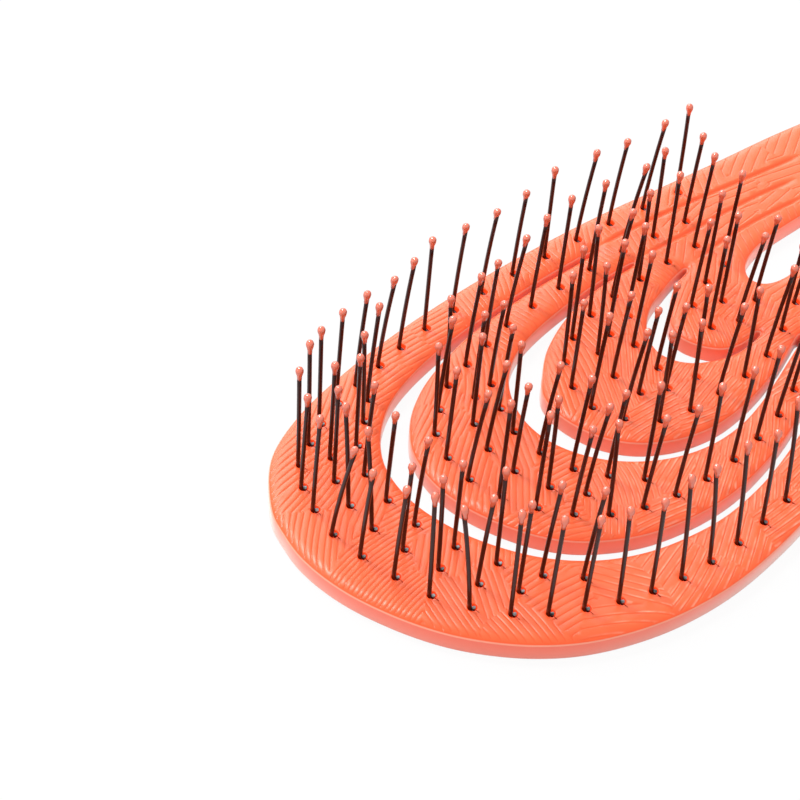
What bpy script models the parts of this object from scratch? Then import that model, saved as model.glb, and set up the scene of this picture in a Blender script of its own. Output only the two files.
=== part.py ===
"""Vent brush: a one-piece moulded plate of nested U bands with a long handle, and rows of ball-tipped pins.

The back lies on z = 0 with the pins pointing up. X runs along the brush to the handle, Y across it, and the
origin is under the middle of the second band's bend, near the middle of the head.
"""

import math

import bmesh
import bpy
from mathutils import Vector
from mathutils.geometry import delaunay_2d_cdt

# Driving sizes, in metres
HEAD_WIDTH = 0.078
HANDLE_LENGTH = 0.1
HANDLE_WIDTH = 0.0255
PLATE_THICKNESS = 0.0041
EDGE_DROP = 0.0008
GRIP_RISE = 0.0032
PIN_LENGTH = 0.021
PIN_THICKNESS = 0.0007
TIP_WIDTH = 0.00135
TIP_LENGTH = 0.0028
PIN_LEAN = 0.001
STRIP_DEPTH = 0.0018
FIT_GAP = 0.0003

# The sloped edge and the strips that carry the pins are as wide as the bands leave room for
EDGE_INSET_SHARE = 0.0154
STRIP_WIDTH_SHARE = 0.0256
EDGE_INSET = HEAD_WIDTH * EDGE_INSET_SHARE
STRIP_WIDTH = HEAD_WIDTH * STRIP_WIDTH_SHARE

# Steps along each span between two points of a curve
OUTLINE_STEPS = 3
SLOT_STEPS = 2

# Heights of the tip's widest ring and of its upper ring, and the width of that ring
TIP_WIDEST_SHARE = 0.62
TIP_UPPER_SHARE = 0.88
TIP_UPPER_WIDTH_SHARE = 0.62

# The grip swells from its start to its full height, and falls again before the end
GRIP_START_SHARE = 0.06
GRIP_FULL_SHARE = 0.4
GRIP_FALL_SHARE = 0.72
GRIP_END_SHARE = 0.95
GRIP_STATIONS = 9
GRIP_LINES_SHARES = (0.3, 0.5, 0.7)

# Plan of the head: shares of its width, anticlockwise, from the handle's far edge round the tip to its near edge
HEAD_SHARES = (
    (1.333, 0.422), (1.154, 0.438), (0.974, 0.456), (0.769, 0.477), (0.551, 0.488), (0.333, 0.488),
    (0.128, 0.476), (-0.051, 0.451), (-0.205, 0.413), (-0.327, 0.353), (-0.413, 0.249), (-0.441, 0.172),
    (-0.453, 0.096), (-0.447, 0.01), (-0.426, -0.074), (-0.385, -0.174), (-0.329, -0.265),
    (-0.246, -0.355), (-0.146, -0.426), (-0.024, -0.476), (0.103, -0.503), (0.244, -0.509),
    (0.418, -0.49), (0.564, -0.456), (0.705, -0.405), (0.846, -0.336), (0.981, -0.254),
    (1.109, -0.164), (1.231, -0.085), (1.359, -0.021),
)

# Plan of the handle past the head: along it as a share of its length, across it as a share of its width
HANDLE_SHARES = (
    (0.12, 0.19), (0.26, 0.25), (0.44, 0.17), (0.64, 0.06), (0.8, 0.05), (0.9, 0.17), (0.94, 0.45),
    (0.91, 0.75), (0.82, 0.96), (0.65, 1.07), (0.46, 1.11), (0.27, 1.16), (0.12, 1.22),
)
HANDLE_ORIGIN_SHARE = 1.359

# Slots that part the bands: shares of the head's width, each one closed at both ends
OUTER_SLOT_SHARES = (
    (0.667, 0.396), (0.513, 0.399), (0.359, 0.392), (0.231, 0.382), (0.128, 0.365), (0.038, 0.341),
    (-0.038, 0.306), (-0.103, 0.253), (-0.145, 0.192), (-0.164, 0.128), (-0.168, 0.064), (-0.159, 0),
    (-0.136, -0.077), (-0.097, -0.154), (-0.054, -0.214), (0.001, -0.267), (0.064, -0.308),
    (0.141, -0.34), (0.231, -0.36), (0.333, -0.368), (0.462, -0.353), (0.59, -0.319), (0.705, -0.276),
    (0.795, -0.231), (0.842, -0.206), (0.837, -0.195), (0.788, -0.216), (0.699, -0.258),
    (0.585, -0.299), (0.462, -0.327), (0.359, -0.336), (0.256, -0.327), (0.16, -0.303),
    (0.081, -0.264), (0.013, -0.212), (-0.041, -0.141), (-0.081, -0.051), (-0.099, 0.026),
    (-0.099, 0.103), (-0.077, 0.179), (-0.042, 0.229), (-0.005, 0.265), (0.035, 0.292),
    (0.083, 0.317), (0.154, 0.342), (0.256, 0.367), (0.385, 0.381), (0.513, 0.387), (0.667, 0.386),
)
MIDDLE_SLOT_SHARES = (
    (0.718, 0.31), (0.615, 0.31), (0.513, 0.302), (0.397, 0.285), (0.301, 0.255), (0.231, 0.203),
    (0.191, 0.135), (0.177, 0.071), (0.182, 0.013), (0.205, -0.046), (0.244, -0.101), (0.301, -0.15),
    (0.372, -0.187), (0.462, -0.208), (0.564, -0.204), (0.667, -0.177), (0.769, -0.141),
    (0.856, -0.108), (0.851, -0.098), (0.764, -0.131), (0.662, -0.16), (0.567, -0.175),
    (0.485, -0.174), (0.404, -0.153), (0.333, -0.112), (0.286, -0.06), (0.259, 0), (0.249, 0.071),
    (0.264, 0.131), (0.308, 0.177), (0.365, 0.223), (0.445, 0.262), (0.526, 0.286), (0.615, 0.299),
    (0.718, 0.301),
)
INNER_SLOT_SHARES = (
    (0.808, 0.219), (0.763, 0.211), (0.712, 0.196), (0.656, 0.177), (0.608, 0.144), (0.577, 0.105),
    (0.564, 0.064), (0.572, 0.028), (0.592, 0), (0.622, -0.022), (0.674, -0.044), (0.721, -0.05),
    (0.759, -0.047), (0.791, -0.04), (0.787, -0.029), (0.755, -0.036), (0.715, -0.033),
    (0.679, -0.015), (0.651, 0.021), (0.637, 0.064), (0.646, 0.106), (0.679, 0.142), (0.724, 0.177),
    (0.763, 0.198), (0.808, 0.209),
)
HANDLE_SLOT_SHARES = (
    (1.321, 0.165), (1.244, 0.172), (1.154, 0.173), (1.051, 0.171), (0.981, 0.159), (0.932, 0.136),
    (0.909, 0.105), (0.915, 0.077), (0.938, 0.06), (0.981, 0.053), (1.051, 0.058), (1.128, 0.078),
    (1.205, 0.109), (1.276, 0.141),
)

# Pin rows: a name, the pins in each strip, and points of the row's curve as shares of the head's width.
# Pins stand at equal steps of the curve, from its first point to its last.
ROWS_OF_SHARES = (
    ("outer_rim_far", (3, 3, 3), (
        (0.982, 0.412), (0.772, 0.435), (0.571, 0.446), (0.373, 0.449), (0.191, 0.441))),
    ("outer_rim_tip", (4, 3, 3), (
        (0.106, 0.431), (0.031, 0.417), (-0.046, 0.404), (-0.117, 0.386), (-0.185, 0.363),
        (-0.24, 0.333), (-0.297, 0.299), (-0.333, 0.246), (-0.354, 0.183), (-0.367, 0.108))),
    ("outer_rim_near", (3, 3, 3, 3, 3, 3, 3), (
        (-0.36, 0.026), (-0.318, -0.14), (-0.222, -0.279), (-0.096, -0.363), (0.044, -0.417),
        (0.196, -0.438), (0.363, -0.433), (0.533, -0.403), (0.695, -0.339), (0.835, -0.267),
        (0.965, -0.19))),
    ("outer_middle", (3, 3, 2), (
        (-0.231, 0.273), (-0.267, 0.217), (-0.288, 0.146), (-0.292, 0.067), (-0.279, -0.015),
        (-0.256, -0.099), (-0.221, -0.179), (-0.168, -0.246))),
    ("outer_inner", (4, 3, 3), (
        (-0.056, 0.353), (-0.106, 0.309), (-0.164, 0.265), (-0.205, 0.192), (-0.217, 0.108),
        (-0.215, 0.021), (-0.192, -0.076), (-0.153, -0.163), (-0.103, -0.245), (-0.041, -0.304))),
    ("second_rim_far", (3, 3, 3), (
        (0.921, 0.328), (0.727, 0.347), (0.524, 0.35), (0.344, 0.335), (0.186, 0.299))),
    ("second_rim_near", (3, 3, 3, 3, 3, 2), (
        (0.109, 0.277), (-0.009, 0.186), (-0.042, 0.044), (0.015, -0.105), (0.124, -0.214),
        (0.274, -0.264), (0.445, -0.271), (0.622, -0.241), (0.79, -0.175))),
    ("second_middle", (3, 3), (
        (0.132, 0.214), (0.076, 0.156), (0.049, 0.083), (0.05, 0.001), (0.077, -0.079),
        (0.126, -0.142))),
    ("second_inner", (4, 3), (
        (0.187, 0.221), (0.128, 0.085), (0.153, -0.073), (0.254, -0.191))),
    ("third_rim", (3, 3, 3, 3, 3, 2), (
        (0.877, 0.254), (0.692, 0.255), (0.517, 0.241), (0.364, 0.168), (0.314, 0.032),
        (0.404, -0.09), (0.568, -0.114), (0.741, -0.099), (0.921, -0.023))),
    ("third_middle", (4, 3), (
        (0.581, 0.185), (0.445, 0.142), (0.429, -0.003), (0.562, -0.047))),
    ("third_inner", (2,), ((0.526, 0.11), (0.515, 0.026))),
    ("tongue_far", (3,), ((0.883, 0.168), (0.806, 0.151), (0.724, 0.118))),
    ("tongue_middle", (2,), ((0.79, 0.085), (0.706, 0.042))),
    ("tongue_near", (2,), ((0.855, 0.04), (0.774, 0.017))),
)

# How far each pin's tip leans, along and across, where the photo shows it well
LEANS_OF_SHARES = {
    "outer_rim_tip": (
        (1.3, -0.8), (1.5, -1.1), (1.6, 0.1), (1.2, 0.8), (1, 1.6), (1.8, 2.7), (1, 1.7), (1, 0.4),
        (1.2, 0.6), (2.1, -2.1)),
    "outer_rim_near": (
        (0.7, -1), (1.1, -0.2), (1.7, 2.5), (0, 3.6), (2.2, 2.4), (1.8, 1.1), (1.1, 0.5), (0.5, 1.4),
        (0.4, 1.1), (1.4, 3.1), (0, 2.6), (1.1, 3), (0.1, 1.2), (1.6, 3.2)),
    "outer_middle": (
        (1.1, 1.1), (0.8, 1), (1, 3.1), (0.6, 3.1), (-0.1, -0.6), (0.2, 1.1), (0.9, -0.5), (0.5, 0.2)),
    "outer_inner": (
        (2.1, 0.7), (-0.4, 0.6), (0.2, 0.5), (1.2, 0.1), (0.3, -0.4), (0.6, -0.9), (-0.3, -0.3),
        (1, 1.3), (1.9, 0.1), (1.5, -0.4)),
}

# Elsewhere the pins lean inward with their distance from the middle, and a little each its own way
LEAN_ALONG_SHARE = 0.7
LEAN_INWARD_SHARE = 0.8
LEAN_SWAY_SHARE = 1.1
LEAN_ALONG_TURN = 2.4
LEAN_ACROSS_TURN = 1.7

CORAL = (1, 0.2, 0.09, 1)
PIN_BROWN = (0.035, 0.012, 0.01, 1)


def clear_scene():
    """Removes every object of the startup scene."""
    for obj in list(bpy.data.objects):
        bpy.data.objects.remove(obj)


def material(name, colour, roughness):
    """A plain plastic."""
    made = bpy.data.materials.new(name)
    made.use_nodes = True
    shader = made.node_tree.nodes["Principled BSDF"]
    shader.inputs["Base Color"].default_value = colour
    shader.inputs["Roughness"].default_value = roughness
    shader.inputs["Metallic"].default_value = 0
    return made


def on_plan(shares):
    """Plan points from shares of the head's width."""
    return [Vector((along * HEAD_WIDTH, across * HEAD_WIDTH)) for along, across in shares]


def on_handle(shares):
    """Plan points from shares of the handle's length and width, past the head."""
    start = HANDLE_ORIGIN_SHARE * HEAD_WIDTH
    return [Vector((start + along * HANDLE_LENGTH, across * HANDLE_WIDTH)) for along, across in shares]


def at(points, place, closed):
    """The point of the smooth curve through points; place counts spans from the first one."""
    count = len(points)
    span = int(place) if closed else min(int(place), count - 2)
    share = place - span
    start, end = points[span], points[(span + 1) % count]
    before = points[span - 1] if closed or span else 2 * start - end
    after = points[(span + 2) % count] if closed or span < count - 2 else 2 * end - start
    swing = end - before
    bend = 2 * before - 5 * start + 4 * end - after
    twist = 3 * start - before - 3 * end + after
    return (2 * start + swing * share + bend * share**2 + twist * share**3) / 2


def smooth_loop(points, steps):
    """A closed curve through points, as a polygon with steps sides to a span."""
    return [at(points, index / steps, True) for index in range(len(points) * steps)]


def side_of(before, after):
    """The unit direction to the left of the way from before to after."""
    way = (after - before).normalized()
    return Vector((-way.y, way.x))


def shifted(loop, distance):
    """The loop moved to the left of its own direction."""
    count = len(loop)
    return [
        point + side_of(loop[index - 1], loop[(index + 1) % count]) * distance
        for index, point in enumerate(loop)
    ]


def distance_to(loop, point):
    """How far a plan point lies from a loop's nearest side."""
    best = math.inf
    for index, end in enumerate(loop):
        start = loop[index - 1]
        way = end - start
        share = min(max((point - start).dot(way) / way.length_squared, 0), 1)
        best = min(best, (start + way * share - point).length)
    return best


def eased(value):
    """A smooth step from 0 to 1."""
    value = min(max(value, 0), 1)
    return value * value * (3 - 2 * value)


def grip_height(point, outline):
    """How far the grip's top stands above the head's face at a plan point."""
    along = (point.x - HANDLE_ORIGIN_SHARE * HEAD_WIDTH) / HANDLE_LENGTH
    swell = eased((along - GRIP_START_SHARE) / (GRIP_FULL_SHARE - GRIP_START_SHARE))
    swell *= eased((GRIP_END_SHARE - along) / (GRIP_END_SHARE - GRIP_FALL_SHARE))
    if not swell:
        return 0
    inward = min(max(distance_to(outline, point) - EDGE_INSET, 0) / (HANDLE_WIDTH / 2 - EDGE_INSET), 1)
    return GRIP_RISE * swell * math.sqrt(1 - (1 - inward) ** 2)


def grip_points():
    """Plan points inside the handle's outline that carry its rounded top."""
    points = []
    for station in range(GRIP_STATIONS):
        along = GRIP_START_SHARE + (GRIP_END_SHARE - GRIP_START_SHARE) * (station + 0.5) / GRIP_STATIONS
        low, high = handle_edges(along)
        for share in GRIP_LINES_SHARES:
            points.append(low.lerp(high, share))
    return points


def handle_edges(along):
    """The handle's two edges at a share of its length, read off its plan."""
    edges = []
    half = HANDLE_SHARES.index(max(HANDLE_SHARES))
    for side in (HANDLE_SHARES[: half + 1], HANDLE_SHARES[half:][::-1]):
        shares = sorted(side)
        index = 1
        while index < len(shares) - 1 and shares[index][0] < along:
            index += 1
        (start, low), (end, high) = shares[index - 1], shares[index]
        place = min(max((along - start) / (end - start), 0), 1)
        edges.append(on_handle([(along, low + (high - low) * place)])[0])
    return edges


def inside(loops, point):
    """True where a plan point lies inside an odd number of the loops."""
    crossings = 0
    for loop in loops:
        for index, end in enumerate(loop):
            start = loop[index - 1]
            if (start.y > point.y) != (end.y > point.y):
                cut = start.x + (end.x - start.x) * (point.y - start.y) / (end.y - start.y)
                crossings += cut > point.x
    return crossings % 2 == 1


def ring(mesh, loop, height):
    """A loop's points as mesh vertices at one height."""
    return [mesh.verts.new((point.x, point.y, height)) for point in loop]


def band(mesh, lower, upper):
    """Four-sided faces between two rings with as many points."""
    for index in range(len(lower)):
        mesh.faces.new((lower[index - 1], lower[index], upper[index], upper[index - 1]))


def sheet(mesh, rings, extra=()):
    """Fills the plan between rings of vertices with triangles; extra vertices lie inside."""
    verts = [vert for one in rings for vert in one] + list(extra)
    edges = []
    start = 0
    for one in rings:
        count = len(one)
        edges += [(start + index, start + (index + 1) % count) for index in range(count)]
        start += count
    plan = [vert.co.xy for vert in verts]
    loops = [[vert.co.xy for vert in one] for one in rings]
    found = delaunay_2d_cdt(plan, edges, [], 0, 0, True)
    for face in found[2]:
        corners = [found[3][corner][0] for corner in face]
        middle = sum((plan[corner] for corner in corners), Vector((0, 0))) / len(corners)
        if inside(loops, middle):
            mesh.faces.new([verts[corner] for corner in corners])


def finish(name, mesh, surface):
    """Makes the object of a closed mesh, with its faces outward."""
    bmesh.ops.recalc_face_normals(mesh, faces=mesh.faces)
    data = bpy.data.meshes.new(name)
    mesh.to_mesh(data)
    mesh.free()
    data.materials.append(surface)
    obj = bpy.data.objects.new(name, data)
    bpy.context.scene.collection.objects.link(obj)
    return obj


def strip_loop(row, places, half):
    """The outline of the slice of backing under a few pins: half wide each side, and half past the end pins."""
    pins = [at(row, place, False) for place in places]
    first = pins[0] + (pins[0] - pins[1]).normalized() * half
    last = pins[-1] + (pins[-1] - pins[-2]).normalized() * half
    line = [first, *pins, last]
    left = []
    right = []
    for index, point in enumerate(line):
        side = side_of(line[max(index - 1, 0)], line[min(index + 1, len(line) - 1)])
        reach = half / 2 if index in (0, len(line) - 1) else half
        left.append(point + side * reach)
        right.append(point - side * reach)
    return right + left[::-1]


def strips():
    """Every strip: its name, its row's curve, the places of its pins on that curve, and their known leans."""
    found = []
    for name, counts, shares in ROWS_OF_SHARES:
        row = on_plan(shares)
        known = LEANS_OF_SHARES.get(name, ())
        total = sum(counts)
        first = 0
        for number, count in enumerate(counts, 1):
            places = [(first + pin) * (len(row) - 1) / (total - 1) for pin in range(count)]
            leans = [known[pin] if pin < len(known) else None for pin in range(first, first + count)]
            found.append((f"{name}_pins_{number}", row, places, leans))
            first += count
    return found


def lean_of(foot, known):
    """How far a pin's tip leans from its foot, in plan: as its row says, or by rule."""
    if known:
        return Vector(known) * PIN_LEAN
    along = LEAN_ALONG_SHARE + math.sin(LEAN_ALONG_TURN * (foot.x + 2 * foot.y) / PIN_LEAN)
    across = LEAN_SWAY_SHARE * math.sin(LEAN_ACROSS_TURN * (foot.y - 2 * foot.x) / PIN_LEAN)
    inward = -LEAN_INWARD_SHARE * foot.y / (HEAD_WIDTH / 2)
    return Vector((along, across + inward)) * PIN_LEAN


def pin_ring(mesh, centre, width, height):
    """A four-sided ring round a pin."""
    reach = width / 2
    corners = ((reach, 0), (0, reach), (-reach, 0), (0, -reach))
    return [mesh.verts.new((centre.x + x, centre.y + y, height)) for x, y in corners]


def pin(mesh, foot, lean):
    """A leaning pin with a drop-shaped tip, open at its foot; returns the ring it stands on."""
    shoulder = PIN_LENGTH - TIP_LENGTH
    levels = (
        (0, PIN_THICKNESS),
        (shoulder, PIN_THICKNESS),
        (shoulder + TIP_WIDEST_SHARE * TIP_LENGTH, TIP_WIDTH),
        (shoulder + TIP_UPPER_SHARE * TIP_LENGTH, TIP_WIDTH * TIP_UPPER_WIDTH_SHARE),
    )
    rings = []
    for height, width in levels:
        centre = foot + lean * height / PIN_LENGTH
        rings.append(pin_ring(mesh, centre, width, PLATE_THICKNESS + height))
    for lower, upper in zip(rings, rings[1:]):
        band(mesh, lower, upper)
    top = foot + lean
    apex = mesh.verts.new((top.x, top.y, PLATE_THICKNESS + PIN_LENGTH))
    for index in range(len(rings[-1])):
        mesh.faces.new((rings[-1][index - 1], rings[-1][index], apex))
    return rings[0]


def make_strip(name, row, places, leans, surface):
    """A few pins fused to the slice of the plate that holds them."""
    mesh = bmesh.new()
    loop = strip_loop(row, places, STRIP_WIDTH / 2)
    top = ring(mesh, loop, PLATE_THICKNESS)
    base = ring(mesh, loop, PLATE_THICKNESS - STRIP_DEPTH)
    band(mesh, base, top)
    mesh.faces.new(base)
    feet = []
    for place, lean in zip(places, leans):
        foot = at(row, place, False)
        feet.append(pin(mesh, foot, lean_of(foot, lean)))
    sheet(mesh, [top, *feet])
    finish(name, mesh, surface)


def make_frame(surface):
    """The moulded plate: bands, slots, sloped edges, handle, and a pocket under every strip of pins."""
    mesh = bmesh.new()
    outline = smooth_loop(on_plan(HEAD_SHARES) + on_handle(HANDLE_SHARES), OUTLINE_STEPS)
    slots = [
        smooth_loop(on_plan(shares), SLOT_STEPS)
        for shares in (OUTER_SLOT_SHARES, MIDDLE_SLOT_SHARES, INNER_SLOT_SHARES, HANDLE_SLOT_SHARES)
    ]
    backs = []
    tops = []
    for number, loop in enumerate([outline, *slots]):
        back = ring(mesh, loop, 0)
        edge = ring(mesh, loop, PLATE_THICKNESS - EDGE_DROP)
        top = ring(mesh, shifted(loop, -EDGE_INSET if number else EDGE_INSET), PLATE_THICKNESS)
        band(mesh, back, edge)
        band(mesh, edge, top)
        backs.append(back)
        tops.append(top)
    sheet(mesh, backs)
    for _, row, places, _ in strips():
        loop = strip_loop(row, places, STRIP_WIDTH / 2 + FIT_GAP)
        rim = ring(mesh, loop, PLATE_THICKNESS)
        floor = ring(mesh, loop, PLATE_THICKNESS - STRIP_DEPTH - FIT_GAP)
        band(mesh, floor, rim)
        mesh.faces.new(floor)
        tops.append(rim)
    extra = [
        mesh.verts.new((point.x, point.y, PLATE_THICKNESS + grip_height(point, outline)))
        for point in grip_points()
    ]
    sheet(mesh, tops, extra)
    frame = finish("brush_frame", mesh, surface)
    frame.data.shade_smooth()
    frame.data.set_sharp_from_angle(angle=math.radians(30))


def build():
    clear_scene()
    coral = material("coral_plastic", CORAL, 0.35)
    brown = material("brown_nylon", PIN_BROWN, 0.25)
    make_frame(coral)
    for name, row, places, leans in strips():
        make_strip(name, row, places, leans, brown)


build()
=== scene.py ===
import math

import bmesh
import bpy
import numpy as np
from mathutils import Matrix, Vector
from mathutils.geometry import delaunay_2d_cdt


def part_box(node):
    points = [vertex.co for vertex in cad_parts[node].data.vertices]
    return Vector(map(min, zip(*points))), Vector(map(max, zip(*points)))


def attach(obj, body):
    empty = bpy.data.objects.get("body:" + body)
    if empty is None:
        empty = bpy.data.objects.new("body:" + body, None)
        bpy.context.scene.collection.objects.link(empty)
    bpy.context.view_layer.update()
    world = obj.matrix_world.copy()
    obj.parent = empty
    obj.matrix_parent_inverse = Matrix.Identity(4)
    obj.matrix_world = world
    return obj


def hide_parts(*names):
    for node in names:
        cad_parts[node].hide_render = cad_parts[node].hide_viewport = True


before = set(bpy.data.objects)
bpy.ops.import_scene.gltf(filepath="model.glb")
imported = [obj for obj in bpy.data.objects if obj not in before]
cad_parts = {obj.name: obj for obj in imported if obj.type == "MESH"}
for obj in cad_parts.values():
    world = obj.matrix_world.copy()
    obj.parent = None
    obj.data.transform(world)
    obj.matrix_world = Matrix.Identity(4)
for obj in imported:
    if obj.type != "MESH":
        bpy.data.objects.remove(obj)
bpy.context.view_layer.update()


# Moulded plate
# The brush is one injection moulding in coral nylon: three nested U bands, a tongue and the handle.
# Its face is moulded with patches of fine leaf-like ribs, its rim slopes away to a square wall, and
# small blind holes wait for the pins.

# The face and the top of the walls, and the rounded slope that joins them
PLATE_TOP = 0.0041
WALL_TOP = 0.0033
SLOPE_WIDTH = 0.003
SLOPE_POWER = 3.2

# A wall's rings from the back up, as distance inward and height, the height where its edge turns round,
# how far inward the first rings of the slope lie, and the steps that smooth each span of the back's edge
EDGE_PROFILE = (
    (0.0002, 0.0), (0.00005, 0.00005), (0.0, 0.0002), (0.0, 0.0031), (0.00003, 0.00322), (0.00012, 0.0033))
ROUNDED_FROM = 0.0032
SLOPE_RINGS = (0.0002, 0.00028)
WALL_STEPS = 3

# The handle, and its grip: where its swell starts, is full, starts to fall and ends, as shares of the
# handle's length, how high it is, and how far inside the walls it begins
HANDLE_START = 0.106
HANDLE_LENGTH = 0.1
HANDLE_HALF_WIDTH = 0.0128
GRIP_RUN = (0.06, 0.4, 0.72, 0.95)
GRIP_RISE = 0.0032
GRIP_RIM = 0.0009

# A pin's hole: its middle from the pin's foot, its lip, and the radius and drop of each ring below
HOLE_OFFSET = (0.0004, -0.0002)
HOLE_LIP = 0.0009
HOLE_STEPS = ((0.00082, 0.00005), (0.00074, 0.00035), (0.00069, 0.0009))
HOLE_SIDES = 16

# A CAD pin's height above the plate, the height of its drop, in mm, and its sides
CAD_PIN_RISE = 21
CAD_DROP_RISE = 2.8
CAD_PIN_SIDES = 4

# Ribs: their pitch and depth, the step along them, and their reach from the middle of their patch
RIB_SEED = 11
RIB_PITCH = 0.0011
RIB_DEPTH = 0.00011
RIB_STEP = 0.0003
RIB_REACH = 0.0135
# The lines that shape each rib, as shares of the pitch across it and of the depth below its crown
RIB_LINES = ((-0.23, 0.03), (-0.1, 0.3), (0.0, 1.0), (0.1, 0.3), (0.23, 0.03), (0.5, 0.0))
# How uneven the ribs are: their spacing, as a share of the pitch, and their curvature, in 1/m
RIB_WOBBLE = 0.06
RIB_BEND = 9.0
# Where the ribs fade out beside a wall, a hole's lip and a groove, and over what width
RIB_INSET = 0.00028
WALL_FADE = 0.00025
LIP_FADE = 0.0002
GROOVE_FADE = 0.0004
# Room between the ribs' lines and the next patch, the plate's rings, and a groove's middle, there as a
# share of its width
PATCH_ROOM = 0.00008
RING_ROOM = 0.0001
GROOVE_ROOM = 0.6
# Patches whose middles are further apart than this don't meet
PATCH_REACH = 0.03
# A rib keeps every second point near a wall, and every sixth elsewhere
FINE_WIDTH = 0.0024
FINE_STEPS = 2
COARSE_STEPS = 6
# Which line of a rib carries a painted highlight along its shoulder, and where: along a direction, from a
# start and over a run
HIGHLIGHT_LINE = 4
HIGHLIGHT_FROM = ((0.7, -0.7), 0.012, 0.015)
HIGHLIGHT_UNTIL = ((0.7, 0.7), 0.028, 0.022)
HIGHLIGHT_LOSS = 0.8

# What the plate's points tell the material, and how strongly they count: painted shade on slopes and in
# grooves, painted highlight and light on rounded edges, and a painted glow at the holes' lips
PLATE_TONES = ("groove", "worn", "hole", "wall", "slot")
SLOPE_SHADE = 0.85
SLOPE_SHADE_WIDTH = 0.0012
GROOVE_SHADE = 1.3
EDGE_HIGHLIGHT_TONE = 0.5
LIP_GLOW = 0.7

# Points closer than MERGE are one, and lengths under HAIR count as none. On the back a face's normal is
# lower than FACES_DOWN, and on a wall it rises less than STEEP. CELL and BATCH cut long sums up, and MM is
# the number of millimetres in a metre.
MERGE = 1e-6
HAIR = 1e-5
FACES_DOWN = -0.9
STEEP = 0.5
CELL = 0.004
BATCH = 400
MM = 1000

# Each patch of ribs: its middle in mm, the way its ribs run in degrees, their curvature in 1/mm, and their
# pitch as a share of the ordinary one
RIB_PATCHES = (
    (-27, 24, 8, 0, 1), (-25, 16.5, 18, 0.012, 1), (-29, 10.5, 42, -0.02, 0.95), (-20, 10, 30, 0, 1.1),
    (-25, 0, 4, -0.02, 0.82), (-28.5, -7.5, 12, -0.03, 0.78), (-16, 4, -4, 0, 0.95), (-17, -6, 41, 0, 1.05),
    (-22.5, -14, 76, 0, 0.92), (-17, -15.5, 62, 0, 1), (-17.5, -25.5, 82, 0.01, 1), (-13, 22, 12, 0, 1),
    (-9, 31, 35, 0, 1), (-10, -11, 45, 0, 1), (-9.5, -18, 0, 0.01, 1), (-9.5, -24.5, -5, -0.01, 1.2),
    (-5, -34, -32, -0.03, 1.6), (1.5, -28, -58, 0, 1.3),
    (10, -28.5, 17, 0, 1.4), (13, -35.5, 22, 0.01, 1.2), (22, -33, 31, 0.015, 1.2), (32.5, -35.5, 2, 0.01, 1),
    (33.5, -28, 40, 0.01, 1), (44, -30, 8, -0.01, 1), (54, -29, 45, 0, 1), (60, -22, -10, 0, 1),
    (68, -24, 40, 0, 1), (72, -17, 0, 0, 1.4), (80, -17, 50, 0, 1.4), (86, -10, 5, 0, 1.4),
    (95, -6, 45, 0, 1.4),
    (3, 28, 5, 0, 1), (8.5, 32.5, 0, 0, 1), (17, 33, -2, 0, 1), (26, 34.5, 80, 0, 1), (35, 35, 62, 0, 1),
    (43, 35.5, 88, 0, 1), (52, 35, 55, 0, 1), (62, 34.5, 85, 0, 1.3), (72, 34.5, 40, 0, 1.6),
    (83, 33, 60, 0, 1.6), (94, 32.5, 28, 0, 1.6), (105, 31.5, 30, 0, 1.6),
    (-1.5, 6, 36, 0, 1), (-1, 17, 27, 0, 1), (7, 23.5, 33, 0, 1), (15, 17, 47, 0.03, 1), (8, 4, 62, 0, 1),
    (2, -4.5, 47, 0, 1), (12, -4, -5, 0, 1), (-1, -11, -4, 0, 1), (2, -16, -25, 0, 1),
    (9.5, -19, 46, 0, 1), (16, -14, 62, 0.055, 1), (14, -23, -10, 0, 1), (6, -22, 8, 0, 1.3),
    (26, -16, 22, 0, 1), (30, -21.5, 30, 0, 1), (39, -19.5, 35, 0, 1), (49, -19, 40, 0, 1),
    (56, -17, -5, 0, 1), (64, -13, 45, 0, 1), (73, -9, 5, 0, 1.4), (82, -5, 50, 0, 1.4), (91, 0, 10, 0, 1.4),
    (16, 25.5, 60, 0, 1), (24, 27.5, 95, 0, 1), (33, 27.5, 100, 0, 1), (42, 27.5, 78, 0, 1),
    (52, 27.3, 100, 0, 1), (62, 27, 70, 0, 1.3), (73, 26.5, 12, 0, 1.6), (85, 24.5, -10, 0, 1.6),
    (97, 22.5, -13, 0, 1.6), (22, 8, 60, 0, 1), (30, 12.5, 67, 0, 1), (30, 1.5, 60, 0, 1), (38, 7, 48, 0, 1),
    (37, 16, 82, 0, 1), (23, -1, 20, 0, 1), (31, -6, -3, 0, 1), (44, -9, 14, 0, 1),
    (38, -12.5, -12, 0, 1), (55, -8.5, 32, 0, 1), (64, -5.5, 0, 0, 1), (48, 20, 60, 0, 1),
    (58, 20.5, 95, 0, 1), (69, 20, 40, 0, 1.6), (79, 20.3, 5, 0, 1.6), (91, 19, 8, 0, 1.6),
    (48, 10, 55, 0, 1), (47, 0, 20, 0, 1), (55, 12, 30, 0, 1), (53, 4, 62, 0, 1), (62, 8, 10, 0, 1),
    (67, 13, 40, 0, 1.3), (66, 2.5, 28, 0, 1), (77, 15.3, 68, 0, 1.6), (89, 14.6, 68, 0, 1.6),
    (101, 14.5, 66, 0, 1.6), (73, 0.5, 0, 0, 1.4), (104, 6, 10, 0, 1.4),
)
# Three patches to each step along the handle: their middles across it, ways and curvatures, and their pitch
HANDLE_PATCH_START = 0.114
HANDLE_PATCH_STEP = 0.011
HANDLE_RIBS = ((0.0048, -32, 0.01), (0.014, 5, 0.001), (0.0232, 36, -0.01))
HANDLE_RIB_PITCH = 1.7

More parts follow.
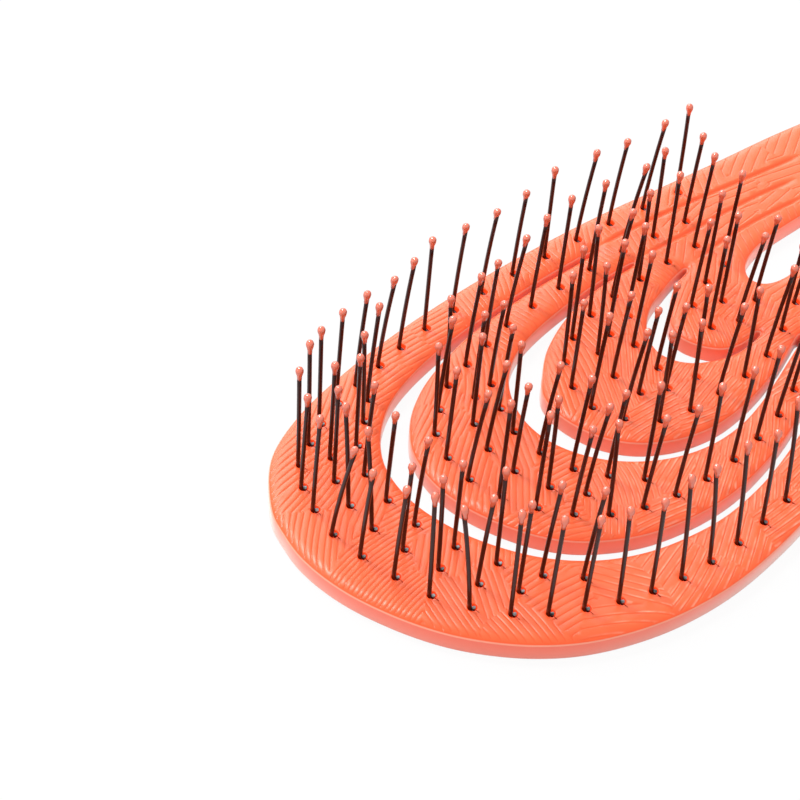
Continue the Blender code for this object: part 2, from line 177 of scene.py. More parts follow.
# Shallow grooves that carry the slots on towards the handle, in mm
GROOVES = (
    ((54.5, 30.6), (60, 30.4), (70, 29.6), (80, 28.3), (90, 26.9), (104, 25)),
    ((58.5, 23.8), (64, 23.5), (72, 23), (80, 22.7), (90, 22), (98, 20.8)),
    ((65.5, 17), (72, 17.5), (78, 17.7), (86, 17.4), (96, 16.4)),
    ((68, -14.8), (76, -10.6), (86, -5.4), (96, 0), (104, 4.4)),
    ((69, -7.6), (77, -4.4), (86, -0.4), (95, 4.4)),
)
GROOVE_STEPS = 5
GROOVE_WIDTH = 0.0012
GROOVE_DEPTH = 0.0004
# The lines that shape a groove, as shares of its width and depth, how long its ends take to narrow, and
# to what share of its width
GROOVE_PROFILE = ((-0.5, 0), (-0.25, 0.8), (0, 1), (0.25, 0.8), (0.5, 0))
GROOVE_TAPER = 0.004
GROOVE_END = 0.3


def curve_through(points, steps, closed):
    """Plan points of the smooth curve through the given ones, with steps to each span."""
    points = np.asarray(points, float)
    if closed:
        before, start, end, later = (np.roll(points, shift, 0) for shift in (1, 0, -1, -2))
    else:
        padded = np.vstack([2 * points[0] - points[1], points, 2 * points[-1] - points[-2]])
        before, start, end, later = padded[:-3], padded[1:-2], padded[2:-1], padded[3:]
    share = (np.arange(steps) / steps)[None, :, None]
    before, start, end, later = (part[:, None] for part in (before, start, end, later))
    bend = 2 * before - 5 * start + 4 * end - later
    twist = 3 * start - before - 3 * end + later
    made = (2 * start + (end - before) * share + bend * share**2 + twist * share**3) / 2
    made = made.reshape(-1, 2)
    return made if closed else np.vstack([made, points[-1:]])


def left_of(line, closed):
    """Unit directions to the left of a line of plan points."""
    if closed:
        way = np.roll(line, -1, 0) - np.roll(line, 1, 0)
    else:
        way = np.gradient(line, axis=0)
    way /= np.linalg.norm(way, axis=1)[:, None]
    return np.stack([-way[:, 1], way[:, 0]], 1)


def back_loops(solid):
    """The closed edges of the solid's flat back in plan, each with the solid on its left."""
    mesh = bmesh.new()
    mesh.from_mesh(solid.data)
    bmesh.ops.remove_doubles(mesh, verts=mesh.verts, dist=MERGE)
    mesh.normal_update()
    follow = {}
    for face in mesh.faces:
        if face.normal.z < FACES_DOWN and max(vert.co.z for vert in face.verts) < HAIR:
            for loop in face.loops:
                other = loop.link_loop_radial_next.face
                if abs(other.normal.z) < STEEP:
                    follow[loop.link_loop_next.vert.index] = loop.vert.index
    places = np.array([vert.co.xy[:] for vert in mesh.verts])
    mesh.free()
    loops = []
    while follow:
        start, step = follow.popitem()
        chain = [start]
        while step != start:
            chain.append(step)
            step = follow.pop(step)
        loops.append(places[chain])
    return sorted(loops, key=len, reverse=True)


def from_lines(points, starts, ends):
    """Each plan point's distance from the nearest of the segments, worked out cell by cell."""
    near = np.empty(len(points))
    way = ends - starts
    square = (way**2).sum(1)
    middles = (starts + ends) / 2
    spread = CELL * math.sqrt(2) + math.sqrt(square.max())
    cells, member = np.unique(np.floor(points / CELL).astype(int), axis=0, return_inverse=True)
    order = np.argsort(member.ravel(), kind="stable")
    for cell, chosen in zip(cells, np.split(order, np.cumsum(np.bincount(member.ravel()))[:-1])):
        apart = np.linalg.norm(middles - (cell + 0.5) * CELL, axis=1)
        some = apart <= apart.min() + spread
        reach = points[chosen, None] - starts[some]
        share = np.clip((reach * way[some]).sum(2) / square[some], 0, 1)
        near[chosen] = np.sqrt(((reach - share[..., None] * way[some]) ** 2).sum(2).min(1))
    return near


def inside(points, starts, ends):
    """Whether each plan point is within the closed lines that the segments make."""
    within = np.empty(len(points), bool)
    way = ends - starts
    slant = way[:, 0] / np.where(way[:, 1] == 0, 1, way[:, 1])
    lows, highs = np.minimum(starts, ends)[:, 1], np.maximum(starts, ends)[:, 1]
    for chosen in np.array_split(np.argsort(points[:, 1]), len(points) // BATCH + 1):
        part = points[chosen, None]
        some = (lows <= part[-1, 0, 1]) & (highs >= part[0, 0, 1])
        rising = (starts[some, 1] > part[..., 1]) != (ends[some, 1] > part[..., 1])
        crossing = starts[some, 0] + (part[..., 1] - starts[some, 1]) * slant[some]
        within[chosen] = (rising & (crossing > part[..., 0])).sum(1) % 2 == 1
    return within


def eased(value):
    """A smooth step from 0 to 1."""
    value = np.clip(value, 0, 1)
    return value * value * (3 - 2 * value)


def face_height(points, edge):
    """Height of the plate's face without its ribs, at plan points edge away from the nearest wall."""
    drop = (PLATE_TOP - WALL_TOP) * np.clip(1 - edge / SLOPE_WIDTH, 0, 1) ** SLOPE_POWER
    along = (points[:, 0] - HANDLE_START) / HANDLE_LENGTH
    start, full, fall, end = GRIP_RUN
    swell = eased((along - start) / (full - start)) * eased((end - along) / (end - fall))
    inward = np.clip((edge - GRIP_RIM) / (HANDLE_HALF_WIDTH - GRIP_RIM), 0, 1)
    return PLATE_TOP - drop + GRIP_RISE * swell * (1 - (1 - inward) ** 2)


def pin_places():
    """Foot and lean of every pin, read off the CAD strips' own pins."""
    feet, leans = [], []
    for name in sorted(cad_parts):
        if name == "brush_frame":
            continue
        places = np.array([vert.co[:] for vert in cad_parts[name].data.vertices])
        places = np.unique(places.round(7), axis=0)
        rise = places[:, 2].max() - PLATE_TOP
        drop_start = rise * (CAD_PIN_RISE - CAD_DROP_RISE) / CAD_PIN_RISE
        for apex in places[places[:, 2] > places[:, 2].max() - HAIR]:
            below = places[np.abs(places[:, 2] - PLATE_TOP - drop_start) < HAIR]
            near = below[np.argsort(((below - apex) ** 2).sum(1))[:CAD_PIN_SIDES]].mean(0)
            lean = (apex - near)[:2] * CAD_PIN_RISE / CAD_DROP_RISE
            feet.append(apex[:2] - lean)
            leans.append(lean)
    return np.array(feet), np.array(leans)


walls = [curve_through(loop, WALL_STEPS, True) for loop in back_loops(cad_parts["brush_frame"])]
low, high = (np.array(corner.xy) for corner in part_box("brush_frame"))
walls = [np.clip(loop, low, high) for loop in walls]
wall_starts = np.vstack(walls)
wall_ends = np.vstack([np.roll(loop, -1, 0) for loop in walls])


def from_walls(points):
    """Each plan point's distance from the nearest wall."""
    return from_lines(points, wall_starts, wall_ends)


pin_feet, pin_leans = pin_places()
hole_centres = pin_feet + np.array(HOLE_OFFSET)
hole_lifts = face_height(hole_centres, from_walls(hole_centres))

grooves = [curve_through(np.array(points) / MM, GROOVE_STEPS, False) for points in GROOVES]
groove_starts = np.vstack([line[:-1] for line in grooves])
groove_ends = np.vstack([line[1:] for line in grooves])

patches = [(x / MM, y / MM, angle, bend * MM, pitch) for x, y, angle, bend, pitch in RIB_PATCHES]
for station in range(int(HANDLE_LENGTH / HANDLE_PATCH_STEP)):
    along = HANDLE_PATCH_START + station * HANDLE_PATCH_STEP
    patches += [(along, across, angle, bend * MM, HANDLE_RIB_PITCH) for across, angle, bend in HANDLE_RIBS]
patch_middles = np.array([patch[:2] for patch in patches])


def border_distance(points, own):
    """How far plan points of patch own lie inside its border with the nearest other patch."""
    gaps = np.linalg.norm(patch_middles - patch_middles[own], axis=1)
    others = np.flatnonzero((gaps < PATCH_REACH) & (gaps > 0))
    square = ((points[:, None] - patch_middles[others]) ** 2).sum(2)
    home = ((points - patch_middles[own]) ** 2).sum(1)[:, None]
    return ((square - home) / (2 * gaps[others])).min(1)


def past(points, way, start, run):
    """How far plan points lie along a direction, easing from 0 at the start to 1 after the run."""
    return eased((points @ way - start) / run)


def rib_mesh():
    """Plan points of the ribs' lines, with their depth, painted highlight and distance from the wall, and
    their edges.
    """
    rng = np.random.default_rng(RIB_SEED)
    along = np.arange(-RIB_REACH, RIB_REACH, RIB_STEP)
    points, depths, highlights, walls_off, edges = [], [], [], [], []
    count = 0
    for own, (x, y, angle, bend, pitch) in enumerate(patches):
        ribs = int(RIB_REACH / RIB_PITCH / pitch)
        each = 2 * ribs + 1
        middles = np.arange(-ribs, ribs + 1) + RIB_WOBBLE * rng.uniform(-1, 1, each)
        shifts = np.concatenate(
            [(middles + place / max(pitch, 1)) * RIB_PITCH * pitch for place, _ in RIB_LINES])
        levels = np.repeat([depth for _, depth in RIB_LINES], each)
        turn = math.radians(angle)
        way, side = np.array([math.cos(turn), math.sin(turn)]), np.array([-math.sin(turn), math.cos(turn)])
        sway = (bend + RIB_BEND * rng.uniform(-1, 1)) * along**2 / 2
        lines = np.array([x, y]) + along[:, None] * way + (shifts[:, None, None] + sway[:, None]) * side
        row, index = np.divmod(np.arange(lines.shape[0] * lines.shape[1]), len(along))
        lines = lines.reshape(-1, 2)
        keep = border_distance(lines, own) > PATCH_ROOM
        lines, row, index = lines[keep], row[keep], index[keep]
        edge = from_walls(lines)
        groove = from_lines(lines, groove_starts, groove_ends)
        hole = np.sqrt(((lines[:, None] - hole_centres) ** 2).sum(2).min(1))
        keep = (edge > RIB_INSET + RING_ROOM) & (hole > HOLE_LIP + RING_ROOM)
        keep &= (groove > GROOVE_WIDTH * GROOVE_ROOM) & inside(lines, wall_starts, wall_ends)
        joined = keep[1:] & keep[:-1] & (np.diff(row) == 0) & (np.diff(index) == 1)
        at_end = ~np.append(joined, False) | ~np.insert(joined, 0, False)
        fine = (edge < FINE_WIDTH) & (index % FINE_STEPS == 0)
        keep &= at_end | (index % COARSE_STEPS == 0) | fine
        depth = levels[row] * eased((edge - RIB_INSET) / WALL_FADE)
        depth *= eased((hole - HOLE_LIP) / LIP_FADE) * eased((groove - GROOVE_WIDTH / 2) / GROOVE_FADE)
        # A painted highlight on one shoulder line of the ribs, coming in and fading out across the head
        highlight = (row // each == HIGHLIGHT_LINE) * past(lines, *HIGHLIGHT_FROM)
        highlight *= 1 - HIGHLIGHT_LOSS * past(lines, *HIGHLIGHT_UNTIL)
        run = np.cumsum(np.insert(~joined, 0, False))[keep]
        edges += [(count + step, count + step + 1) for step in np.flatnonzero(np.diff(run) == 0).tolist()]
        count += len(run)
        points.append(lines[keep])
        depths.append(depth[keep])
        highlights.append(highlight[keep])
        walls_off.append(edge[keep])
    return np.vstack(points), *(np.concatenate(part) for part in (depths, highlights, walls_off)), edges


def loop_edges(start, count, closed=True):
    """Pairs of neighbouring numbers along a line of points."""
    return [(start + step, start + (step + 1) % count) for step in range(count if closed else count - 1)]


def face_lines():
    """Plan points of the ribs and grooves, with their heights, painted shade and painted highlight, and their
    edges.
    """
    plan, depths, highlight, edge, edges = rib_mesh()
    # Painted shade: the ribs' valleys, and the slope beside the walls, get a deeper colour
    tint = np.maximum(depths, SLOPE_SHADE * (1 - edge / SLOPE_SHADE_WIDTH))
    parts = [(plan, face_height(plan, edge) - depths * RIB_DEPTH, tint, highlight)]
    start = len(plan)
    for line in grooves:
        side = left_of(line, False)
        ends = np.minimum(np.linalg.norm(line - line[0], axis=1), np.linalg.norm(line - line[-1], axis=1))
        taper = eased(ends / GROOVE_TAPER)
        # Painted shade deepens each groove towards its middle
        for shift, depth in GROOVE_PROFILE:
            spread = shift * GROOVE_WIDTH * (GROOVE_END + (1 - GROOVE_END) * taper)
            points = line + side * spread[:, None]
            heights = face_height(points, from_walls(points)) - GROOVE_DEPTH * depth * taper
            parts.append((points, heights, GROOVE_SHADE * depth * taper, 0 * taper))
            edges += loop_edges(start, len(points), False)
            start += len(points)
    return *(np.concatenate(column) for column in zip(*parts)), edges


def ring_lines(plan, rings):
    """The rings' edges, numbered one ring after another, and the starts and ends of their segments."""
    edges, start = [], 0
    for ring in rings:
        edges += loop_edges(start, len(ring))
        start += len(ring)
    starts = np.vstack([plan[ring] for ring in rings])
    ends = np.vstack([plan[np.roll(ring, -1)] for ring in rings])
    return edges, (starts, ends)


def filled(plan, edges, bounds):
    """Triangles over the plan points that keep to the edges and lie inside the bounding segments.

    Returns the triangles' own points, which of the plan points each one was, and the triangles.
    """
    # Worked out in mm, because the triangulation tells points of that size apart more surely
    found = delaunay_2d_cdt([Vector(point) for point in plan * MM], edges, [], 0, MERGE, True)
    verts = np.array([vert[:] for vert in found[0]]) / MM
    origin = np.array([ids[0] for ids in found[3]])
    faces = np.array(found[2])
    return verts, origin, faces[inside(verts[faces].mean(1), *bounds)]


class Skin:
    """The plate's surface while it is made: its vertices, their tones and its faces."""

    def __init__(self):
        self.places = []
        self.tones = []
        self.faces = []
        self.count = 0

    def add(self, plan, heights, **tones):
        """Adds vertices over plan points, with the tones that aren't 0, and returns their numbers."""
        size = len(plan)
        self.places.append(np.column_stack([plan, np.broadcast_to(heights, size)]))
        columns = [np.broadcast_to(tones.get(key, 0.0), size) for key in PLATE_TONES]
        self.tones.append(np.column_stack(columns))
        self.count += size
        return np.arange(self.count - size, self.count)

    def bridge(self, rings):
        """Adds the faces between each ring of vertices and the next."""
        for lower, upper in zip(rings, rings[1:]):
            sides = lower, np.roll(lower, -1), np.roll(upper, -1), upper
            self.faces.extend(np.stack(sides, 1).tolist())


def wall_rings(skin):
    """Makes the walls and the start of their slopes. Returns their lowest and highest rings."""
    back_rings, top_rings = [], []
    for loop in walls:
        side = left_of(loop, True)
        # The outline runs anticlockwise, and the slots' edges clockwise
        x, y = loop.T
        slot = float(x @ np.roll(y, -1) < y @ np.roll(x, -1))
        rings = []
        # Wall rings carry painted light, a paler pinker colour, and the slots' walls paler still
        for inward, height in EDGE_PROFILE:
            # The rounded top rings carry half the walls' painted light and the full painted highlight
            wall = EDGE_HIGHLIGHT_TONE if height > ROUNDED_FROM else 1.0
            rings.append(skin.add(loop + side * inward, height, wall=wall, slot=wall * slot))
        # The slope's first rings carry painted shade
        for inward in SLOPE_RINGS:
            plan = loop + side * inward
            rings.append(skin.add(plan, face_height(plan, np.full(len(plan), inward)), groove=SLOPE_SHADE))
        skin.bridge(rings)
        back_rings.append(rings[0])
        top_rings.append(rings[-1])
    return back_rings, top_rings


def hole_rings(skin):
    """Makes the pins' blind holes. Returns the rings of their lips."""
    turns = np.arange(HOLE_SIDES) * 2 * math.pi / HOLE_SIDES
    round_shape = np.stack([np.cos(turns), np.sin(turns)], 1)
    lips = []
    for centre, lift in zip(hole_centres, hole_lifts):
        lip = centre + round_shape * HOLE_LIP
        # The lip and hole rings carry the painted glow
        rings = [skin.add(lip, face_height(lip, from_walls(lip)), hole=LIP_GLOW)]
        for radius, drop in HOLE_STEPS:
            rings.append(skin.add(centre + round_shape * radius, lift - drop, hole=1.0))
        skin.bridge(rings)
        skin.faces.append(rings[-1].tolist())
        lips.append(rings[0])
    return lips


def fill_face(skin, rings):
    """Fills the face between its rings with triangles along the ribs and grooves."""
    outline = np.vstack(skin.places)[:, :2]
    ring_ids = np.concatenate(rings)
    edges, bounds = ring_lines(outline, rings)
    plan, heights, tint, highlight, line_edges = face_lines()
    first = len(ring_ids)
    edges += [(a + first, b + first) for a, b in line_edges]
    verts, origin, triangles = filled(np.vstack([outline[ring_ids], plan]), edges, bounds)
    on_ring = origin < first
    inner = origin[~on_ring] - first
    number = np.empty(len(verts), int)
    number[on_ring] = ring_ids[origin[on_ring]]
    number[~on_ring] = skin.add(verts[~on_ring], heights[inner], groove=tint[inner], worn=highlight[inner])
    skin.faces.extend(number[triangles].tolist())


def fill_back(skin, rings):
    """Closes the flat back inside its rings."""
    outline = np.vstack(skin.places)[:, :2]
    ring_ids = np.concatenate(rings)
    _, origin, triangles = filled(outline[ring_ids], *ring_lines(outline, rings))
    skin.faces.extend(ring_ids[origin[triangles]][:, ::-1].tolist())


def mesh_object(name, verts, faces, material):
    """A smooth-shaded object with its faces outward."""
    data = bpy.data.meshes.new(name)
    data.from_pydata(verts.tolist(), [], faces)
    mesh = bmesh.new()
    mesh.from_mesh(data)
    bmesh.ops.recalc_face_normals(mesh, faces=mesh.faces)
    mesh.to_mesh(data)
    mesh.free()
    data.shade_smooth()
    data.materials.append(material)
    obj = bpy.data.objects.new(name, data)
    bpy.context.scene.collection.objects.link(obj)
    return obj


class Wire:
    """A node's output socket. Sums on it add Math nodes to its tree."""

    def __init__(self, tree, socket):
        self.tree = tree
        self.socket = socket

    def out(self, name):
        """Another output of the same node."""
        return Wire(self.tree, self.socket.node.outputs[name])

    def into(self, target, name):
        """Links this wire to the target node's socket."""
        self.tree.links.new(self.socket, target.inputs[name])

    def maths(self, operation, *terms):
        """A Math node on the terms, each a wire or a number."""
        return node(self.tree, "ShaderNodeMath", {"operation": operation}, dict(enumerate(terms)))

    def __abs__(self):
        return self.maths("ABSOLUTE", self)

    def __add__(self, other):
        return self.maths("ADD", self, other)

    def __radd__(self, other):
        return self.maths("ADD", other, self)

    def __sub__(self, other):
        return self.maths("SUBTRACT", self, other)

    def __rsub__(self, other):
        return self.maths("SUBTRACT", other, self)

    def __mul__(self, other):
        return self.maths("MULTIPLY", self, other)

    def __rmul__(self, other):
        return self.maths("MULTIPLY", other, self)

    def __truediv__(self, other):
        return self.maths("DIVIDE", self, other)

    def __rtruediv__(self, other):
        return self.maths("DIVIDE", other, self)

    def __pow__(self, other):
        return self.maths("POWER", self, other)

    def __rpow__(self, other):
        return self.maths("POWER", other, self)


def node(tree, kind, settings, sockets):
    """Adds a node: its settings first, then its sockets' values or wires. Returns its first output."""
    made = tree.nodes.new(kind)
    for name, value in settings.items():
        if name == "points":
            curve = made.mapping.curves[0].points
            while len(curve) < len(value):
                curve.new(0.5, 0.5)
            for point, place in zip(curve, value):
                point.location = place
            made.mapping.update()
        else:
            setattr(made, name, value)
    for name, value in sockets.items():
        if isinstance(value, Wire):
            value.into(made, name)
        else:
            made.inputs[name].default_value = value
    shown = [socket for socket in made.outputs if socket.enabled]
    return Wire(tree, shown[0]) if shown else None


def blend(share, first, second):
    """The first colour, with the second over it by its share."""
    return node(
        share.tree, "ShaderNodeMix", {"data_type": "RGBA"},
        {"Factor": share, "A": first, "B": second}).out("Result")


def own_place(tree):
    """The place on the piece that is being shaded."""
    return node(tree, "ShaderNodeTexCoord", {}, {}).out("Object")


def noise(place, scale, detail):
    """Values that wander between 0 and 1 over the surface."""
    return node(place.tree, "ShaderNodeTexNoise", {}, {"Vector": place, "Scale": scale, "Detail": detail})


def bump(height, strength, distance):
    """A normal that follows the height."""
    return node(
        height.tree, "ShaderNodeBump", {}, {"Strength": strength, "Distance": distance, "Height": height})


def surface(name, **sockets):
    """A new material with one Principled shader, whose constant sockets are given here."""
    made = bpy.data.materials.new(name)
    made.use_nodes = True
    shader = made.node_tree.nodes["Principled BSDF"]
    for socket, value in sockets.items():
        shader.inputs[socket.replace("_", " ")].default_value = value
    return made, made.node_tree, shader


CORAL_DEEP = (0.9, 0.118, 0.031, 1)
CORAL_PALE = (0.94, 0.147, 0.045, 1)
GROOVE_SHADE_COLOUR = (1.0, 0.085, 0.01, 1)
WALL_LIGHT_COLOUR = (0.93, 0.155, 0.088, 1)
SLOT_LIGHT_COLOUR = (1.0, 0.225, 0.125, 1)
RIB_HIGHLIGHT_COLOUR = (1.0, 0.46, 0.32, 1)
WALL_SHEEN_COLOUR = (1.0, 0.72, 0.64, 1)
EDGE_HIGHLIGHT_COLOUR = (1.0, 0.4, 0.28, 1)
HOLE_GLOW_COLOUR = (1.0, 0.075, 0.012, 1)
# How strongly the painted shade in grooves and the painted highlight on rounded edges cover, how sharp
# the painted sheen on slanting walls is, and how patchy the painted highlight on the ribs is
GROOVE_SHADE_SHARE = 0.66
EDGE_HIGHLIGHT_SHARE = 0.8
WALL_SHEEN_SHARE, WALL_SHEEN_POWER = 1.35, 3.0
HIGHLIGHT_CONTRAST, HIGHLIGHT_GAP = 2.4, 0.8


def coral_plastic():
    """Satin coral nylon, a little cloudy, with a fine moulded grain and faint rubbing in its roughness and
    bumps.

    Its colour carries painted shade in the grooves and on the slopes, a painted highlight on one shoulder
    of some ribs and on the walls' rounded top edges, painted light on the walls, and a painted sheen where
    they are seen aslant. The holes get a painted glow, deep red and a little emissive, for light that went
    into the plastic and comes out there.
    """
    made, tree, shader = surface("coral_plastic", IOR=1.5, Specular_IOR_Level=0.44, Emission_Strength=0.4)
    place = own_place(tree)
    cloud = noise(place, 55.0, 3.0)
    grain = noise(place, 2600.0, 2.0)
    rubbed = noise(place, 420.0, 4.0)
    groove, worn, hole, wall, slot = (
        node(tree, "ShaderNodeAttribute", {"attribute_name": key}, {}).out("Fac") for key in PLATE_TONES)
    aslant = node(tree, "ShaderNodeLayerWeight", {}, {"Blend": 0.5}).out("Facing")
    # The walls' rounded top edge, which gets a painted highlight
    rounded = 1.0 - abs(wall * 2.0 - 1.0)
    shades = (
        # Painted shade in the ribs' valleys, the grooves and the slopes
        (groove * GROOVE_SHADE_SHARE, GROOVE_SHADE_COLOUR),
        # Painted highlight on one shoulder of some ribs, broken up by the rubbing noise
        (worn * (rubbed * HIGHLIGHT_CONTRAST - HIGHLIGHT_GAP), RIB_HIGHLIGHT_COLOUR),
        # Painted light on the walls, and more of it on the slot walls
        (wall, WALL_LIGHT_COLOUR),
        (slot, SLOT_LIGHT_COLOUR),
        # Painted sheen on walls seen aslant
        (wall * aslant**WALL_SHEEN_POWER * WALL_SHEEN_SHARE, WALL_SHEEN_COLOUR),
        # Painted highlight on the walls' rounded top edges
        (rounded * EDGE_HIGHLIGHT_SHARE, EDGE_HIGHLIGHT_COLOUR),
        # Painted glow colour in the holes
        (hole, HOLE_GLOW_COLOUR),
    )
    tint = blend(cloud, CORAL_DEEP, CORAL_PALE)
    for share, colour in shades:
        tint = blend(share, tint, colour)
    tint.into(shader, "Base Color")
    # Painted glow: the holes emit a little deep red light
    blend(hole, (0, 0, 0, 1), HOLE_GLOW_COLOUR).into(shader, "Emission Color")
    (0.27 + rubbed * 0.14).into(shader, "Roughness")
    bump(grain + rubbed, 0.25, 0.00003).into(shader, "Normal")
    return made


skin = Skin()
back_rings, top_rings = wall_rings(skin)
fill_face(skin, top_rings + hole_rings(skin))
fill_back(skin, back_rings)
plate = mesh_object("moulded_plate", np.vstack(skin.places), skin.faces, coral_plastic())
for key, values in zip(PLATE_TONES, np.vstack(skin.tones).T.astype(np.float32)):
    plate.data.attributes.new(key, "FLOAT", "POINT").data.foreach_set("value", values.copy())
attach(plate, "root")
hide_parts("brush_frame")


# Pins
# Each pin is a stiff brown-black nylon filament folded into a staple. One long leg stands up as the pin,
# and the other is cut off short beside it. The fold sits at the bottom of the hole.

PIN_LENGTH = 0.021
PIN_RADIUS = 0.00038
PIN_SIDES = 8
PIN_SEGMENTS = 7
# How deep the pins stand in the plate, and how far their ends stay below the tops of their drops
PIN_ROOT = 0.0011
PIN_IN_DROP = 0.0012
# How much of a pin's lean comes as a bow
PIN_BOW = 0.4


def points_object(name, places, **vectors):
    """A mesh of loose points that carries vectors, for nodes to stand things on."""
    data = bpy.data.meshes.new(name)
    data.from_pydata(places.tolist(), [], [])
    for key, values in vectors.items():
        carried = data.attributes.new(key, "FLOAT_VECTOR", "POINT").data
        carried.foreach_set("vector", values.astype(np.float32).ravel())
    obj = bpy.data.objects.new(name, data)
    bpy.context.scene.collection.objects.link(obj)
    return obj


def new_tree(name, inputs):
    """A geometry tree with a mesh, named numbers and a material as inputs, and the wire that brings them."""
    tree = bpy.data.node_groups.new(name, "GeometryNodeTree")
    tree.interface.new_socket("Geometry", in_out="INPUT", socket_type="NodeSocketGeometry")
    for key in inputs:
        tree.interface.new_socket(key, in_out="INPUT", socket_type="NodeSocketFloat")
    tree.interface.new_socket("Material", in_out="INPUT", socket_type="NodeSocketMaterial")
    tree.interface.new_socket("Geometry", in_out="OUTPUT", socket_type="NodeSocketGeometry")
    return tree, node(tree, "NodeGroupInput", {}, {})


def grow(obj, tree, values, material):
    """Runs the tree on the points, and puts its result in their place as a plain mesh object."""
    modifier = obj.modifiers.new(tree.name, "NODES")
    modifier.node_group = tree
    ids = {item.name: item.identifier for item in tree.interface.items_tree if item.in_out == "INPUT"}
    for key, value in values.items():
        modifier[ids[key]] = value
    modifier[ids["Material"]] = material
    graph = bpy.context.evaluated_depsgraph_get()
    data = bpy.data.meshes.new_from_object(obj.evaluated_get(graph))
    name = obj.name
    bpy.data.objects.remove(obj)
    data.name = name
    made = bpy.data.objects.new(name, data)
    bpy.context.scene.collection.objects.link(made)
    return made


def vector_on(tree, name):
    """The vector of that name that each point carries."""
    return node(tree, "GeometryNodeInputNamedAttribute", {"data_type": "FLOAT_VECTOR"}, {"Name": name})


def place_split(tree):
    """The places of a mesh's vertices, split into X, Y and Z."""
    place = node(tree, "GeometryNodeInputPosition", {}, {})
    return node(tree, "ShaderNodeSeparateXYZ", {}, {"Vector": place})


def tube(tree, sides, segments, radius=1.0, depth=1.0):
    """A closed upright tube about the origin."""
    return node(
        tree, "GeometryNodeMeshCylinder", {},
        {"Vertices": sides, "Side Segments": segments, "Radius": radius, "Depth": depth})


def stood(tree, given, piece, **more):
    """A copy of the piece on each point, as real geometry."""
    copies = node(tree, "GeometryNodeInstanceOnPoints", {}, {"Points": given, "Instance": piece, **more})
    return node(tree, "GeometryNodeRealizeInstances", {}, {"Geometry": copies})


def leaned(tree, given, geometry):
    """Moves upright copies over along each one's lean, a little at first and more towards the top."""
    up = (place_split(tree).out("Z") - PLATE_TOP) / given.out("Length")
    bow = given.out("Bow")
    share = up * (1 - bow) + up * up * bow
    lean = vector_on(tree, "lean")
    offset = node(tree, "ShaderNodeVectorMath", {"operation": "SCALE"}, {0: lean, "Scale": share})
    return node(tree, "GeometryNodeSetPosition", {}, {"Geometry": geometry, "Offset": offset})


def finished(tree, given, geometry):
    """Smooths the geometry, gives it its material and ends the tree."""
    smooth = node(tree, "GeometryNodeSetShadeSmooth", {}, {"Geometry": geometry})
    material = given.out("Material")
    painted = node(tree, "GeometryNodeSetMaterial", {}, {"Geometry": smooth, "Material": material})
    node(tree, "NodeGroupOutput", {}, {"Geometry": painted})


def pin_tree():
    """Round filament from inside the plate up to the pin's end, in short lengths so that it can bow."""
    tree, given = new_tree("standing_legs", ("Radius", "Length", "Root", "Bow"))
    length, root = given.out("Length"), given.out("Root")
    leg = tube(tree, PIN_SIDES, PIN_SEGMENTS, given.out("Radius"), length + root)
    lift = node(tree, "ShaderNodeCombineXYZ", {}, {"Z": (length - root) / 2})
    leg = node(tree, "GeometryNodeTransform", {}, {"Geometry": leg, "Translation": lift})
    finished(tree, given, leaned(tree, given, stood(tree, given, leg)))
    return tree


def nylon():
    """Glossy brown-black filament, browner here and there, with faint marks of drawing along it."""
    made, tree, shader = surface("pin_nylon", IOR=1.42)
    place = own_place(tree)
    along = node(tree, "ShaderNodeMapping", {}, {"Vector": place, "Scale": (5000.0, 5000.0, 260.0)})
    marks = noise(along, 1.0, 2.0)
    tone = noise(place, 160.0, 2.0)
    blend(tone, (0.02, 0.002, 0.001, 1), (0.05, 0.005, 0.002, 1)).into(shader, "Base Color")
    (0.07 + marks * 0.12).into(shader, "Roughness")
    bump(marks, 0.2, 0.00002).into(shader, "Normal")
    return made


flat = np.zeros((len(pin_feet), 1))
foot_places = np.column_stack([pin_feet, np.full(len(pin_feet), PLATE_TOP)])
lean_vectors = np.column_stack([pin_leans, flat])
pin_points = points_object("pins", foot_places, lean=lean_vectors)
pin_sizes = {"Radius": PIN_RADIUS, "Length": PIN_LENGTH - PIN_IN_DROP, "Root": PIN_ROOT, "Bow": PIN_BOW}
pins = grow(pin_points, pin_tree(), pin_sizes, nylon())
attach(pins, "root")
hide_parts(*[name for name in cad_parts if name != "brush_frame"])


# Pin tips
# Every long leg is dipped in coral epoxy, which sets as a drop bonded to its end: round above, and drawn
# out thin down the pin.

TIP_LENGTH = 0.0024
TIP_RADIUS = 0.00068
TIP_SIDES = 10
TIP_SEGMENTS = 8
# Shares of the drop's height and radius, from its neck to its top, and how its rings crowd towards the top
TIP_PROFILE = (
    (0, 0.57), (0.16, 0.59), (0.3, 0.65), (0.43, 0.8), (0.56, 0.94), (0.7, 1), (0.83, 0.93), (0.92, 0.72),
    (0.98, 0.42), (1, 0.06))
TIP_CROWDING = 1.6


def profiled(share, points):
    """The height of the curve through the points, at that share of its length."""
    return node(share.tree, "ShaderNodeFloatCurve", {"points": points}, {"Value": share})


def tip_tree():
    """A drop round the end of each pin, shaped from a plain tube by its profile."""
    tree, given = new_tree("dipped_drops", ("Radius", "Drop", "Length", "Bow"))
    plain = tube(tree, TIP_SIDES, TIP_SEGMENTS)
    place = place_split(tree)
    share = 1.0 - (0.5 - place.out("Z")) ** TIP_CROWDING
    width = profiled(share, TIP_PROFILE) * given.out("Radius")
    height = given.out("Length") - (1.0 - share) * given.out("Drop")
    moved = node(
        tree, "ShaderNodeCombineXYZ", {},
        {"X": place.out("X") * width, "Y": place.out("Y") * width, "Z": height})
    drop = node(tree, "GeometryNodeSetPosition", {}, {"Geometry": plain, "Position": moved})
    finished(tree, given, leaned(tree, given, stood(tree, given, drop)))
    return tree


